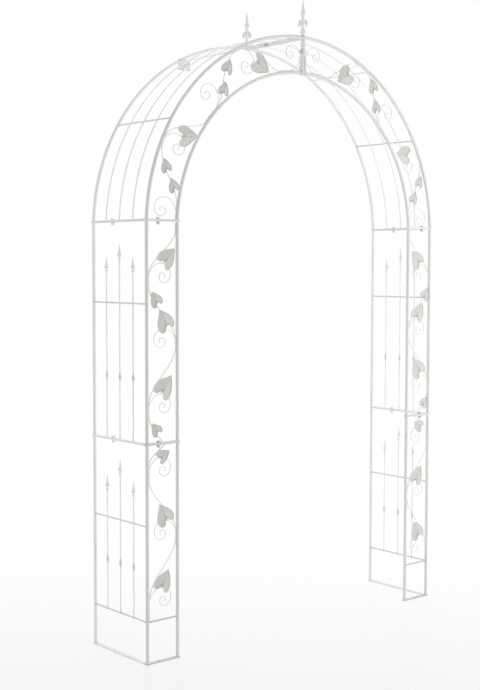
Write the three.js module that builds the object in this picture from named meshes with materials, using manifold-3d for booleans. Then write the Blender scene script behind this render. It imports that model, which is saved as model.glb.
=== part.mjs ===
// A garden arch of white steel tube: two side towers, a round top in two halves,
// spear grilles in the sides, and vines of wire scrolls and leaves along the front.
// Millimetres, +Z up. The origin is on the ground at the middle of the footprint;
// X runs across the way through, and the vines are on the -Y side.
import * as THREE from "three";
import { mergeVertices } from "three/addons/utils/BufferGeometryUtils.js";
import Module from "manifold-3d";

const wasm = await Module();
wasm.setup();

// The frame, measured between tube centrelines
const archSpan = 1388;
const archDepth = 310;
const bandWidth = 126;
const sectionHeight = 740;
const outerRise = 664;
const apexBandWidth = 127;

// Tube, flat bar and wire stock
const tubeDiameter = 12;
const tubeWall = 1.2;
const barWidth = 16;
const barThickness = 4;
const barOverhang = 4;
const rodDiameter = 6;
const spearRodDiameter = 5.2;
const stemWire = 4.6;
const curlWire = 4;

// Fits: the gap between touching pieces, and how far a cut runs past its solid
const seatGap = 0.3;
const overrun = 2;

// How far apart two corners may lie and still be one
const weldDistance = 1e-4;

// Heights in one post section
const footBarHeight = 143;
const midBarHeight = 465;

// Apex, where the two halves meet: how far their front bars part at the bottom
const apexSplay = 5;

// Finials, the reach being that of the drooping lobes
const finialHeight = 130;
const finialReach = 19.5;
const finialStem = 11;
const lobeCount = 4;
const lobeTilt = THREE.MathUtils.degToRad(20);

// Bolts
const boltDiameter = 8;
const hexFlats = 13;
const headHeight = 5.3;
const nutHeight = 6.5;
const threadEnd = 3;
const sideBoltShare = 0.625;
const frontBoltShare = 0.375;

// Spears
const spearCount = 3;
const spearHead = 58;
const spearBarb = 22;
const beadLength = 26;
const beadDiameter = 10;
const beadNeck = 3.6;

// Vines: a scroll is a spiral that starts on its tube and tightens by a fixed rate
const curlCentreShare = 0.53;
const curlTurns = 1.5;
const curlStartTurn = 0.16;
const curlTightness = 0.214;
const leafThickness = 2.4;
const leafLift = 2.9;
const leafFold = THREE.MathUtils.degToRad(15);
const leafWidthShare = 0.52;

// Small blank plate on the back arc
const plateWidth = 55;
const plateHeight = 40;
const plateThickness = 1.5;
const plateTurnShare = 0.683;
const rivetShank = 3.4;
const rivetHead = 7;
const rivetHeadHeight = 2;

// Facets
const tubeSides = 8;
const boreSides = 4;
const rodSides = 4;
const hexSides = 6;
const arcSteps = 12;
const rodSteps = 8;
const curlSteps = 12;
const stemStep = 26;
const leafDivisions = 3;

// Places worked out from the sizes above
const tubeRadius = tubeDiameter / 2;
const sectionPitch = sectionHeight + seatGap;
const innerRise = outerRise - apexBandWidth;
const archBase = 2 * sectionPitch;
const archFoot = archBase + barThickness + seatGap;
const postLength = sectionHeight - 2 * (barThickness + seatGap);
const outerX = archSpan / 2;
const innerX = outerX - bandWidth;
const frontY = -archDepth / 2;
const backY = archDepth / 2;
const halfGap = seatGap / 2;
const tubeReach = tubeRadius + seatGap;
const apexZ = archFoot + outerRise;
const apexTop = apexZ + barWidth / 2;
const apexBottom = archFoot + innerRise - barWidth / 2;

const finish = (color, roughness, metalness) =>
  new THREE.MeshStandardMaterial({ color, roughness, metalness });
const whitePaint = finish("#e9e8e4", 0.42, 0);
const zinc = finish("#b9bbbc", 0.4, 0.8);
const barePlate = finish("#d8d8d6", 0.5, 0.1);

// Joining and cutting

function solidOf(geometry) {
  const bare = geometry.clone();
  bare.deleteAttribute("normal");
  bare.deleteAttribute("uv");
  const merged = mergeVertices(bare, weldDistance);
  return new wasm.Manifold(
    new wasm.Mesh({
      numProp: 3,
      vertProperties: new Float32Array(merged.attributes.position.array),
      triVerts: new Uint32Array(merged.index.array),
    }),
  );
}

function geometryOf(solid) {
  const { vertProperties, triVerts } = solid.getMesh();
  const geometry = new THREE.BufferGeometry();
  geometry.setAttribute("position", new THREE.BufferAttribute(vertProperties, 3));
  geometry.setIndex(new THREE.BufferAttribute(triVerts, 1));
  geometry.computeVertexNormals();
  return geometry;
}

function join(geometries) {
  const whole = geometries.map(solidOf).reduce((sum, next) => sum.add(next));
  return geometryOf(whole);
}

function cut(geometry, tools) {
  const left = tools.map(solidOf).reduce((rest, tool) => rest.subtract(tool), solidOf(geometry));
  return geometryOf(left);
}

// What lies between two heights
function between(geometry, lowZ, highZ) {
  const slab = new THREE.BoxGeometry(2 * archSpan, 2 * archDepth, highZ - lowZ);
  slab.translate(0, 0, (lowZ + highZ) / 2);
  return geometryOf(solidOf(geometry).intersect(solidOf(slab)));
}

// Sections and sweeps

function polygon(radius, sides) {
  const corner = (i) => {
    const turn = (2 * Math.PI * i) / sides;
    return new THREE.Vector2(radius * Math.cos(turn), radius * Math.sin(turn));
  };
  return Array.from({ length: sides }, (_, i) => corner(i));
}

function tubeSection() {
  const section = new THREE.Shape(polygon(tubeRadius, tubeSides));
  section.holes.push(new THREE.Path(polygon(tubeRadius - tubeWall, boreSides)));
  return section;
}

const rodSection = (diameter) => new THREE.Shape(polygon(diameter / 2, rodSides));

const sweep = (section, path, steps) =>
  new THREE.ExtrudeGeometry(section, { steps, extrudePath: path });

const straight = (section, length) =>
  new THREE.ExtrudeGeometry(section, { depth: length, steps: 1, bevelEnabled: false });

// A path whose steps follow its own parameter, so that turns and not lengths are even
class FormulaCurve extends THREE.Curve {
  constructor(pointAt) {
    super();
    this.pointAt = pointAt;
  }
  getPoint(share) {
    return this.pointAt(share);
  }
  getUtoTmapping(share) {
    return share;
  }
}

// A turned piece round the Z axis, from pairs of radius and height that start and end on the
// axis. Like a polygon, it has a corner on the X axis.
function turned(profile, sides) {
  const points = profile.map(([radius, height]) => new THREE.Vector2(radius, height));
  return new THREE.LatheGeometry(points, sides, Math.PI / 2).rotateX(Math.PI / 2);
}

function rodAlongY(diameter, fromY, toY, x, z) {
  const rod = straight(rodSection(diameter), toY - fromY);
  return rod.rotateX(-Math.PI / 2).translate(x, fromY, z);
}

// The left half is modelled, with X negative; the right half is its mirror image.

// An arc tube is part of a circle that rises from the top of its tower to the apex.
function arcOf(halfWidth, rise) {
  const radius = (halfWidth * halfWidth + rise * rise) / (2 * rise);
  return { radius, springTurn: Math.asin((radius - rise) / radius), centreZ: archFoot + rise - radius };
}

const outerArc = arcOf(outerX, outerRise);
const innerArc = arcOf(innerX, innerRise);

function arcPoint({ radius, springTurn, centreZ }, turnShare, y) {
  const turn = THREE.MathUtils.lerp(springTurn, Math.PI / 2, turnShare);
  return new THREE.Vector3(-radius * Math.cos(turn), y, centreZ + radius * Math.sin(turn));
}

// How far round an arc a point lies that is some distance short of the middle
const shareAt = ({ radius, springTurn }, distance) =>
  THREE.MathUtils.inverseLerp(springTurn, Math.PI / 2, Math.acos(distance / radius));

const apexFace = halfGap + barThickness + seatGap;
const outerEnd = shareAt(outerArc, apexFace);
const innerEnd = shareAt(innerArc, apexFace + apexSplay);

// A tube or rod along an arc, cut off level where it stands on the foot bar
function arcSweep(section, arc, endShare, y, steps) {
  const start = -tubeDiameter / innerX;
  const path = new FormulaCurve((share) =>
    arcPoint(arc, THREE.MathUtils.lerp(start, endShare, share), y),
  );
  return between(sweep(section, path, steps), archFoot, apexTop);
}

const arcTube = (arc, endShare, y) => arcSweep(tubeSection(), arc, endShare, y, arcSteps);

// L-shaped bars

// In plan, a bar runs from the inner post to the outer post in front and back to the rear post.
function barOutline() {
  const side = barWidth / 2;
  const reach = tubeRadius + barOverhang;
  const outline = new THREE.Shape();
  outline.moveTo(-outerX - side, frontY - side);
  outline.lineTo(-innerX + reach, frontY - side);
  outline.lineTo(-innerX + reach, frontY + side);
  outline.lineTo(-outerX + side, frontY + side);
  outline.lineTo(-outerX + side, backY + reach);
  outline.lineTo(-outerX - side, backY + reach);
  return outline;
}

const boltHole = boltDiameter + 2 * seatGap;
const holeTool = (length) => straight(new THREE.Shape(polygon(boltHole / 2, hexSides)), length);

const boltPlaces = [
  { name: "side", x: -outerX, y: frontY + archDepth * sideBoltShare },
  { name: "front", x: -outerX + bandWidth * frontBoltShare, y: frontY },
];

function jointBar() {
  const holes = boltPlaces.map(({ x, y }) =>
    holeTool(barThickness + 2 * overrun).translate(x, y, -overrun),
  );
  return cut(straight(barOutline(), barThickness), holes);
}

// The apex frame is two bars on edge: one back along the ridge, and one down the front that
// meets its twin as far as the bolt and stands off it below.
const apexBoltZ = apexZ - (apexZ - apexBottom) * frontBoltShare;
const ridgeBoltY = frontY + archDepth * sideBoltShare;

function apexFrame() {
  const side = barWidth / 2;
  const partingZ = apexBoltZ - side;
  const front = new THREE.Shape();
  front.moveTo(-halfGap, apexTop);
  front.lineTo(-halfGap - barThickness, apexTop);
  front.lineTo(-halfGap - barThickness, partingZ);
  front.lineTo(-halfGap - barThickness - apexSplay, apexBottom);
  front.lineTo(-halfGap - apexSplay, apexBottom);
  front.lineTo(-halfGap, partingZ);
  const frontBar = straight(front, barWidth).rotateX(Math.PI / 2).translate(0, frontY + side, 0);
  const ridgeLength = archDepth + barWidth / 2 + tubeRadius + barOverhang;
  const ridge = new THREE.BoxGeometry(barThickness, ridgeLength, barWidth);
  ridge.translate(-halfGap - barThickness / 2, frontY - side + ridgeLength / 2, apexZ);
  const hole = (y, z) => {
    const reach = barThickness + apexSplay + 2 * overrun;
    return holeTool(2 * reach).rotateY(Math.PI / 2).translate(-reach, y, z);
  };
  const frame = join([frontBar, ridge]);
  return cut(frame, [hole(frontY, apexBoltZ), hole(ridgeBoltY, apexZ)]);
}

// Side grilles

// A cast spear head with four edges, from the rod up to its tip
const spearProfileShares = [
  [0, 0], [0.3, 0.02], [0.52, 0.14], [0.28, 0.24], [0.42, 0.3],
  [1, 0.34], [0.38, 0.5], [0.2, 0.72], [0, 1],
];

// A bead on the rod, as shares of its diameter and length, with a thin neck under it
const beadProfileShares = [
  [0.36, 0], [1, 0.42], [0.8, 0.62],
];

function spear(x, y, bottomZ, beadZ, tipZ) {
  const rod = spearRodDiameter / 2;
  const neck = beadNeck / 2;
  const beadBottom = beadZ - beadLength / 2;
  const beadProfile = beadProfileShares.map(([out, up]) => [
    (out * beadDiameter) / 2,
    beadBottom + up * beadLength,
  ]);
  const rodTop = tipZ - spearHead / 2;
  const shaft = turned([
    [0, bottomZ], [rod, bottomZ], [rod, beadBottom - 2 * beadNeck], [neck, beadBottom - beadNeck],
    ...beadProfile,
    [rod, beadBottom + beadLength], [rod, rodTop], [0, rodTop],
  ], rodSides);
  const headProfile = spearProfileShares.map(([out, up]) => [
    (out * spearBarb) / 2,
    tipZ - spearHead + up * spearHead,
  ]);
  return [shaft, turned(headProfile, 4)].map((piece) => piece.translate(x, y, 0));
}

// Both grilles have a crossbar and three spears, the middle one taller. The lower one stands on
// a foot bar between the posts, the upper one on the joint bar under it.
const lowerGrilleShares = { tip: 0.827, middleTip: 0.911, bead: 0.431 };
const upperGrilleShares = { tip: 0.842, middleTip: 0.896, bead: 0.292 };

function grille(base, hasFoot, { tip, middleTip, bead }) {
  const fromY = frontY + tubeReach;
  const toY = backY - tubeReach;
  const bar = (height) => rodAlongY(rodDiameter, fromY, toY, -outerX, base + height);
  const bars = hasFoot ? [bar(footBarHeight), bar(midBarHeight)] : [bar(midBarHeight)];
  const bottomZ = base + (hasFoot ? footBarHeight : barThickness + seatGap);
  const beadZ = base + bead * sectionHeight;
  const spears = Array.from({ length: spearCount }, (_, i) => {
    const y = frontY + (archDepth * (i + 1)) / (spearCount + 1);
    const isMiddle = i === (spearCount - 1) / 2;
    const tipZ = base + (isMiddle ? middleTip : tip) * sectionHeight;
    return spear(-outerX, y, bottomZ, beadZ, tipZ);
  });
  return join([...bars, ...spears.flat()]);
}

// Rods over the arch
const archBarShares = [1 / 3, 2 / 3];

function archRods() {
  const rods = Array.from({ length: spearCount }, (_, i) => {
    const y = frontY + (archDepth * (i + 1)) / (spearCount + 1);
    return arcSweep(rodSection(spearRodDiameter), outerArc, outerEnd, y, rodSteps);
  });
  const bars = archBarShares.map((share) => {
    const { x, z } = arcPoint(outerArc, share, 0);
    return rodAlongY(rodDiameter, frontY + tubeReach, backY - tubeReach, x, z);
  });
  return join([...rods, ...bars]);
}

// Vines

// A vine climbs its band from tube to tube. At a stop its wire runs along a tube, 0 the outer and
// 1 the inner one, between two shares of the band's length, and may send off a scroll at a third,
// with a leaf over it. A stop past the band's end only gives the wire its heading there. More
// leaves sit on the wire between the stops. A leaf is its notch and its tip. Each is a share of
// the band's width across, and one of its length along; over a scroll, the second is a share of
// the width up from the scroll's centre.

// The lower vine's last scroll hangs from the section's head.
const lowerBandLength = sectionHeight - footBarHeight - rodDiameter / 2;
const belowHead = (widthShare) => 1 - (widthShare * bandWidth) / lowerBandLength;

const lowerVineShares = {
  startShare: 0,
  endShare: 1,
  stops: [
    {
      tubeIndex: 0, fromShare: 0, toShare: 0.121, curlShare: 0.108,
      leafShares: [0.431, 0.363, 0.661, 0.82],
    },
    {
      tubeIndex: 1, fromShare: 0.452, toShare: 0.495, curlShare: 0.489,
      leafShares: [0.607, 0.344, 0.361, 0.797],
    },
    {
      tubeIndex: 0, fromShare: belowHead(0.952), toShare: belowHead(0.556),
      curlShare: belowHead(0.707), leafShares: [0.393, 0.325, 0.7, 0.509],
    },
    { tubeIndex: 1, fromShare: belowHead(-0.354), toShare: belowHead(-0.59) },
  ],
  leavesShares: [],
};

const upperVineShares = {
  startShare: 0,
  endShare: 0.99,
  stops: [
    { tubeIndex: 1, fromShare: -0.136, toShare: -0.12 },
    {
      tubeIndex: 0, fromShare: 0.123, toShare: 0.176, curlShare: 0.161,
      leafShares: [0.446, 0.38, 0.769, 0.829],
    },
    {
      tubeIndex: 1, fromShare: 0.427, toShare: 0.461, curlShare: 0.457,
      leafShares: [0.623, 0.397, 0.373, 0.841],
    },
    {
      tubeIndex: 0, fromShare: 0.707, toShare: 0.756, curlShare: 0.75,
      leafShares: [0.531, 0.374, 0.88, 0.742],
    },
    { tubeIndex: 1, fromShare: 0.957, toShare: 1 },
  ],
  leavesShares: [
    [0.315, 0.046, 0.123, 0.09],
    [0.308, 0.629, 0.123, 0.682],
  ],
};

// A scroll's radius where it leaves the wire, and how far it reaches above and below its centre
const curlStart = curlCentreShare * bandWidth - tubeReach - stemWire / 2;
const curlRise = curlStart * Math.exp(-curlTightness * 0.5 * Math.PI) + curlWire / 2;
const curlDrop = curlStart * Math.exp(-curlTightness * 1.5 * Math.PI) + curlWire / 2;

// Over the arch the first scroll hangs clear of the bolt head under it, and the last one keeps
// clear of the apex bolt. The arc leans at its foot, which lifts the first scroll's centre.
const archBandLength = ((outerX + innerX) * Math.PI) / 4;
const curlLift = curlStart * Math.sin(innerArc.springTurn);
const firstCurlShare = (headHeight + barThickness + curlDrop - curlLift) / archBandLength;
const lastCurlShare = 1 - (curlRise + nutHeight + threadEnd + 2 * barThickness) / archBandLength;

const archVineShares = {
  startShare: 0,
  endShare: lastCurlShare + 0.016,
  stops: [
    { tubeIndex: 1, fromShare: 0, toShare: 0.06, curlShare: firstCurlShare },
    {
      tubeIndex: 0, fromShare: 0.25, toShare: 0.272, curlShare: 0.259,
      leafShares: [0.5, 0.335, 0.93, 0.69],
    },
    { tubeIndex: 1, fromShare: 0.411, toShare: 0.5, curlShare: 0.492 },
    {
      tubeIndex: 0, fromShare: 0.683, toShare: 0.722, curlShare: 0.71,
      leafShares: [0.515, 0.385, 0.88, 0.818],
    },
    { tubeIndex: 1, fromShare: 0.872, toShare: 1, curlShare: lastCurlShare },
  ],
  leavesShares: [
    [0.77, 0.11, 0.571, 0.147],
    [0.394, 0.168, 0.197, 0.201],
    [0.77, 0.553, 0.557, 0.588],
    [0.352, 0.613, 0.143, 0.649],
  ],
};

// A band gives a place from shares across it and along it. On a tower it runs from the top of
// the bar or rod under it to the top of the section. Over the arch, the outer tube's facets bow
// in towards the wire, so the wire keeps clear of them too.
const towerBand = (fromZ, toZ) => ({
  length: toZ - fromZ,
  lowZ: fromZ + seatGap,
  highZ: toZ - barThickness - seatGap,
  seat: tubeReach + stemWire / 2,
  place: (across, along) =>
    new THREE.Vector3(
      -outerX + across * bandWidth,
      frontY,
      THREE.MathUtils.lerp(fromZ, toZ, along),
    ),
});

const facetBow = outerX * (1 - Math.cos(Math.PI / 4 / arcSteps));
const archBand = {
  lowZ: archFoot,
  highZ: apexTop,
  length: archBandLength,
  seat: tubeReach + facetBow + stemWire / 2,
  place: (across, along) =>
    arcPoint(outerArc, along, frontY).lerp(arcPoint(innerArc, along, frontY), across),
};

function seatOn(tubeIndex, along, band) {
  const share = band.seat / band.place(0, along).distanceTo(band.place(1, along));
  return tubeIndex ? 1 - share : share;
}

// The wire lies along a tube at each stop, and eases off it and on to the next one.
function acrossAt(along, stops, band) {
  const index = stops.findIndex((stop) => along <= stop.toShare);
  const next = stops[index];
  const seat = seatOn(next.tubeIndex, along, band);
  if (along >= next.fromShare) return seat;
  const last = stops[index - 1];
  const eased = THREE.MathUtils.smoothstep(along, last.toShare, next.fromShare);
  return THREE.MathUtils.lerp(seatOn(last.tubeIndex, along, band), seat, eased);
}

function stem({ startShare, endShare, stops }, band) {
  const path = new FormulaCurve((share) => {
    const along = THREE.MathUtils.lerp(startShare, endShare, share);
    return band.place(acrossAt(along, stops, band), along);
  });
  const steps = Math.round(((endShare - startShare) * band.length) / stemStep);
  return between(sweep(rodSection(stemWire), path, steps), band.lowZ, band.highZ);
}

// A scroll leaves its tube along it, upward, and winds in round a centre beside the tube.
const headingShare = 0.001;

function curl({ tubeIndex, curlShare }, band) {
  const seatAt = (along) => band.place(seatOn(tubeIndex, along, band), along);
  const seat = seatAt(curlShare);
  const upward = seatAt(curlShare + headingShare).sub(seat).normalize();
  const outward = new THREE.Vector3(0, tubeIndex ? 1 : -1, 0).cross(upward);
  const centre = seat.clone().addScaledVector(outward, -curlStart);
  const path = new FormulaCurve((share) => {
    const turn = THREE.MathUtils.lerp(curlStartTurn, 2 * Math.PI * curlTurns, share);
    const radius = curlStart * Math.exp(-curlTightness * turn);
    const sideways = outward.clone().multiplyScalar(radius * Math.cos(turn));
    return centre.clone().add(sideways).addScaledVector(upward, radius * Math.sin(turn));
  });
  return sweep(rodSection(curlWire), path, curlSteps);
}

// Half a heart-shaped leaf: two curves from the notch, as shares of its width and length, go
// round one lobe and along the flank to the tip, and the midrib closes it.
const leafNotchShare = 0.1;
const leafLobeShares = [[0.2, -0.42], [1, -0.32], [1, 0.13]];
const leafFlankShares = [[0.97, 0.45], [0.33, 0.68], [0, 1]];

function halfLeafOutline(length, width) {
  const outline = new THREE.Shape();
  outline.moveTo(0, leafNotchShare * length);
  for (const curveShares of [leafLobeShares, leafFlankShares]) {
    outline.bezierCurveTo(...curveShares.flatMap(([out, up]) => [out * width, up * length]));
  }
  return new THREE.Shape(outline.getPoints(leafDivisions));
}

function leaf([notchAcross, notchAlong, tipAcross, tipAlong], band) {
  const notch = band.place(notchAcross, notchAlong);
  const tip = band.place(tipAcross, tipAlong);
  const length = notch.distanceTo(tip);
  const half = (turn) => {
    const blade = straight(halfLeafOutline(length, length * leafWidthShare), leafThickness);
    return blade.translate(0, 0, -leafThickness / 2).rotateY(turn);
  };
  const right = half(leafFold);
  const left = half(-leafFold).rotateY(Math.PI);
  const along = tip.clone().sub(notch).normalize();
  const toFront = new THREE.Vector3(0, -1, 0);
  const across = along.clone().cross(toFront);
  const place = new THREE.Matrix4().makeBasis(across, along, toFront);
  place.setPosition(notch.addScaledVector(toFront, leafLift));
  return join([right, left]).applyMatrix4(place);
}

function leafOverCurl({ curlShare, leafShares }, band) {
  const [notchAcross, notchUp, tipAcross, tipUp] = leafShares;
  const alongAt = (upShare) => curlShare + (upShare * bandWidth) / band.length;
  return leaf([notchAcross, alongAt(notchUp), tipAcross, alongAt(tipUp)], band);
}

function vine(shares, band) {
  const { stops, leavesShares } = shares;
  const curls = stops.filter((stop) => stop.curlShare).map((stop) => curl(stop, band));
  const over = stops.filter((stop) => stop.leafShares).map((stop) => leafOverCurl(stop, band));
  const others = leavesShares.map((leafShares) => leaf(leafShares, band));
  return join([stem(shares, band), ...curls, ...over, ...others]);
}

// Fasteners

// A hexagon bolt with its nut, its axis along Z and the clamped bars from 0 to grip
function boltWithNut(grip) {
  const hexRadius = hexFlats / 2 / Math.cos(Math.PI / 6);
  const shank = boltDiameter / 2;
  const headFrom = grip + seatGap;
  return turned([
    [0, -seatGap - nutHeight - threadEnd], [shank, -seatGap - nutHeight],
    [hexRadius, -seatGap - nutHeight], [hexRadius, -seatGap], [shank, -seatGap],
    [shank, headFrom], [hexRadius, headFrom], [0, headFrom + headHeight],
  ], hexSides);
}

// Finial

const finialPointShares = [
  [0, 0.2], [0.2, 0.22], [0.2, 0.46], [0.26, 0.5], [0.68, 0.57], [0.45, 0.64], [0.28, 0.72], [0, 1],
];
const finialBaseShares = [
  [0, 0], [0.38, 0], [0.43, 0.03], [0.62, 0.07], [0.45, 0.14], [0.27, 0.21], [0, 0.24],
];
const lobeShares = { thick: 0.36, wide: 0.38, tall: 0.115, out: 0.61, up: 0.345 };

// A cast finial: a collar, four drooping lobes and a four-edged point
function finial() {
  const profile = (shares) => shares.map(([out, up]) => [out * finialReach, up * finialHeight]);
  const point = turned(profile(finialPointShares), lobeCount);
  const base = turned(profile(finialBaseShares), tubeSides);
  const core = straight(rodSection(finialStem), finialHeight / 2);
  const { thick, wide, tall, out, up } = lobeShares;
  const lobes = Array.from({ length: lobeCount }, (_, i) => {
    const lobe = new THREE.SphereGeometry(1, 5, 4).rotateX(Math.PI / 2);
    lobe.scale(thick * finialReach, wide * finialReach, tall * finialHeight);
    lobe.rotateY(-lobeTilt).translate(out * finialReach, 0, up * finialHeight);
    return lobe.rotateZ((2 * Math.PI * i) / lobeCount);
  });
  return join([base, core, point, ...lobes]);
}

// The object

const arch = new THREE.Group();

function addPiece(group, name, geometry, material) {
  const piece = new THREE.Mesh(geometry, material);
  piece.name = name;
  group.add(piece);
  return piece;
}

const post = straight(tubeSection(), postLength);
const bar = jointBar();
const frontFootBar = straight(rodSection(rodDiameter), bandWidth - 2 * tubeReach);
frontFootBar.rotateY(Math.PI / 2).translate(-outerX + tubeReach, frontY, footBarHeight);
const posts = [
  { name: "back_post", x: -outerX, y: backY },
  { name: "front_outer_post", x: -outerX, y: frontY },
  { name: "front_inner_post", x: -innerX, y: frontY },
];
const levels = [
  {
    name: "lower",
    base: 0,
    bars: ["base_bar", "lower_joint_bar"],
    grille: grille(0, true, lowerGrilleShares),
    vine: vine(lowerVineShares, towerBand(footBarHeight + rodDiameter / 2, sectionHeight)),
  },
  {
    name: "upper",
    base: sectionPitch,
    bars: ["middle_joint_bar", "upper_joint_bar"],
    grille: grille(sectionPitch, false, upperGrilleShares),
    vine: vine(upperVineShares, towerBand(sectionPitch + barThickness, sectionPitch + sectionHeight)),
  },
];
const archPieces = [
  ["back_arc", arcTube(outerArc, outerEnd, backY)],
  ["front_outer_arc", arcTube(outerArc, outerEnd, frontY)],
  ["front_inner_arc", arcTube(innerArc, innerEnd, frontY)],
  ["arch_rods", archRods()],
  ["arch_vine", vine(archVineShares, archBand)],
  ["apex_frame", apexFrame()],
];
const jointBolt = boltWithNut(2 * barThickness + seatGap);
const apexBolt = boltWithNut(2 * barThickness + seatGap).rotateY(Math.PI / 2);
apexBolt.translate(-barThickness - halfGap, 0, 0);

for (const side of ["left", "right"]) {
  const half = new THREE.Group();
  half.scale.x = side === "left" ? 1 : -1;
  for (const { name, base, bars, ...worked } of levels) {
    for (const { name: postName, x, y } of posts) {
      const place = addPiece(half, `${side}_${name}_${postName}`, post, whitePaint);
      place.position.set(x, y, base + barThickness + seatGap);
    }
    const topBarZ = base + sectionHeight - barThickness;
    addPiece(half, `${side}_${bars[0]}`, bar, whitePaint).position.z = base;
    addPiece(half, `${side}_${bars[1]}`, bar, whitePaint).position.z = topBarZ;
    addPiece(half, `${side}_${name}_grille`, worked.grille, whitePaint);
    addPiece(half, `${side}_${name}_vine`, worked.vine, whitePaint);
    for (const { name: boltName, x, y } of boltPlaces) {
      const bolt = addPiece(half, `${side}_${name}_${boltName}_bolt`, jointBolt, zinc);
      bolt.position.set(x, y, topBarZ);
    }
  }
  addPiece(half, `${side}_front_foot_bar`, frontFootBar, whitePaint);
  addPiece(half, `${side}_arch_foot_bar`, bar, whitePaint).position.z = archBase;
  for (const [name, geometry] of archPieces) addPiece(half, `${side}_${name}`, geometry, whitePaint);
  arch.add(half);
}

addPiece(arch, "apex_front_bolt", apexBolt, zinc).position.set(0, frontY, apexBoltZ);
addPiece(arch, "apex_ridge_bolt", apexBolt, zinc).position.set(0, ridgeBoltY, apexZ);
const finialPiece = finial();
addPiece(arch, "front_finial", finialPiece, whitePaint).position.set(0, frontY, apexTop + seatGap);
addPiece(arch, "back_finial", finialPiece, whitePaint).position.set(0, backY, apexTop + seatGap);

// The plate lies against the front of the back arc, riveted near its upper corner.
const rivetPlace = arcPoint(outerArc, plateTurnShare, backY);
const plateFace = backY - tubeReach - plateThickness;
const plateCorner = { x: plateWidth / 6, z: plateHeight / 6 };
const rivetSection = new THREE.Shape(polygon(rivetShank / 2 + seatGap, hexSides));
const rivetHole = straight(rivetSection, plateThickness + 2 * overrun);
rivetHole.rotateX(-Math.PI / 2).translate(rivetPlace.x, plateFace - overrun, rivetPlace.z);
const plate = new THREE.BoxGeometry(plateWidth, plateThickness, plateHeight);
plate.translate(
  rivetPlace.x + plateWidth / 2 - plateCorner.x,
  plateFace + plateThickness / 2,
  rivetPlace.z - plateHeight / 2 + plateCorner.z,
);
addPiece(arch, "blank_plate", cut(plate, [rivetHole]), barePlate);
const headFrom = plateThickness + seatGap;
const rivet = turned([
  [0, 0], [rivetShank / 2, 0], [rivetShank / 2, headFrom], [rivetHead / 2, headFrom],
  [rivetHead / 4, headFrom + rivetHeadHeight], [0, headFrom + rivetHeadHeight],
], hexSides).rotateX(Math.PI / 2);
const rivetY = plateFace + plateThickness;
addPiece(arch, "plate_rivet", rivet, zinc).position.set(rivetPlace.x, rivetY, rivetPlace.z);

export default arch;
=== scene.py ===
import bpy
import numpy as np
from mathutils import Matrix, Vector


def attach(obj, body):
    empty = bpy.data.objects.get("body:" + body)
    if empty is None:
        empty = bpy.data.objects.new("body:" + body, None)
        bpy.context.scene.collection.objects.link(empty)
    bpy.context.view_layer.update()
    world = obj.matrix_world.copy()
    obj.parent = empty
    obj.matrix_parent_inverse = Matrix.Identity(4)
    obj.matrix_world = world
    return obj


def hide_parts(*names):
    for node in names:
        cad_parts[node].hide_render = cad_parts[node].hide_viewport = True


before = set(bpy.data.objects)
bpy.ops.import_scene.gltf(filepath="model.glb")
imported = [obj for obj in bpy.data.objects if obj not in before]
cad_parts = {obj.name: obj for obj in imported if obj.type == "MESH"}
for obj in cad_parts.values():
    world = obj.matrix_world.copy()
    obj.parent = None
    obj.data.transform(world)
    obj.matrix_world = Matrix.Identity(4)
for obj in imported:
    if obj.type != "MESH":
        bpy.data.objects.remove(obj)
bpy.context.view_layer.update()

metre = 1000.0

# The camera
# It stands at chest height to the front left, 4.7 metres from the arch's middle, and looks in
# through the arch so that the left tower's side and the right tower's inside both show.
camera_place = (-3.1245, -3.508, 1.333)
camera_yaw, camera_pitch, camera_roll = 0.7013, -0.0633, 0.0022
focal_pixels, picture_height = 1258.6, 690
sensor_size, far_clip = 36.0, 100.0

forward = Vector((
    np.sin(camera_yaw) * np.cos(camera_pitch),
    np.cos(camera_yaw) * np.cos(camera_pitch),
    np.sin(camera_pitch),
))
level_right = Vector((np.cos(camera_yaw), -np.sin(camera_yaw), 0))
level_up = level_right.cross(forward)
right = level_right * np.cos(camera_roll) + level_up * np.sin(camera_roll)
up = right.cross(forward)
lens = bpy.data.cameras.new("camera")
lens.sensor_fit = "VERTICAL"
lens.sensor_height = sensor_size
lens.lens = sensor_size * focal_pixels / picture_height
lens.clip_end = far_clip
camera = bpy.data.objects.new("camera", lens)
facing = Matrix((right, up, -forward)).transposed().to_4x4()
camera.matrix_world = Matrix.Translation(camera_place) @ facing
bpy.context.collection.objects.link(camera)
bpy.context.scene.camera = camera

# Posts
# Twelve straight lengths of round steel tube, three to a post section, cut square and welded on
# to the flat bars at their ends, then powder-coated white with everything welded to them.
half_span, half_depth, band_width = 694.0, 155.0, 126.0
section_height, seat_gap = 740.0, 0.3
section_pitch = section_height + seat_gap
sections = {"lower": 0.0, "upper": section_pitch}
tube_radius, tube_sides, bar_thickness = 6.0, 24, 4.0
inner_x = half_span - band_width
front_y, back_y = -half_depth, half_depth
weld_leg, weld_clear = 1.1, 6.0
front_plane_half = 9.0


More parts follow.
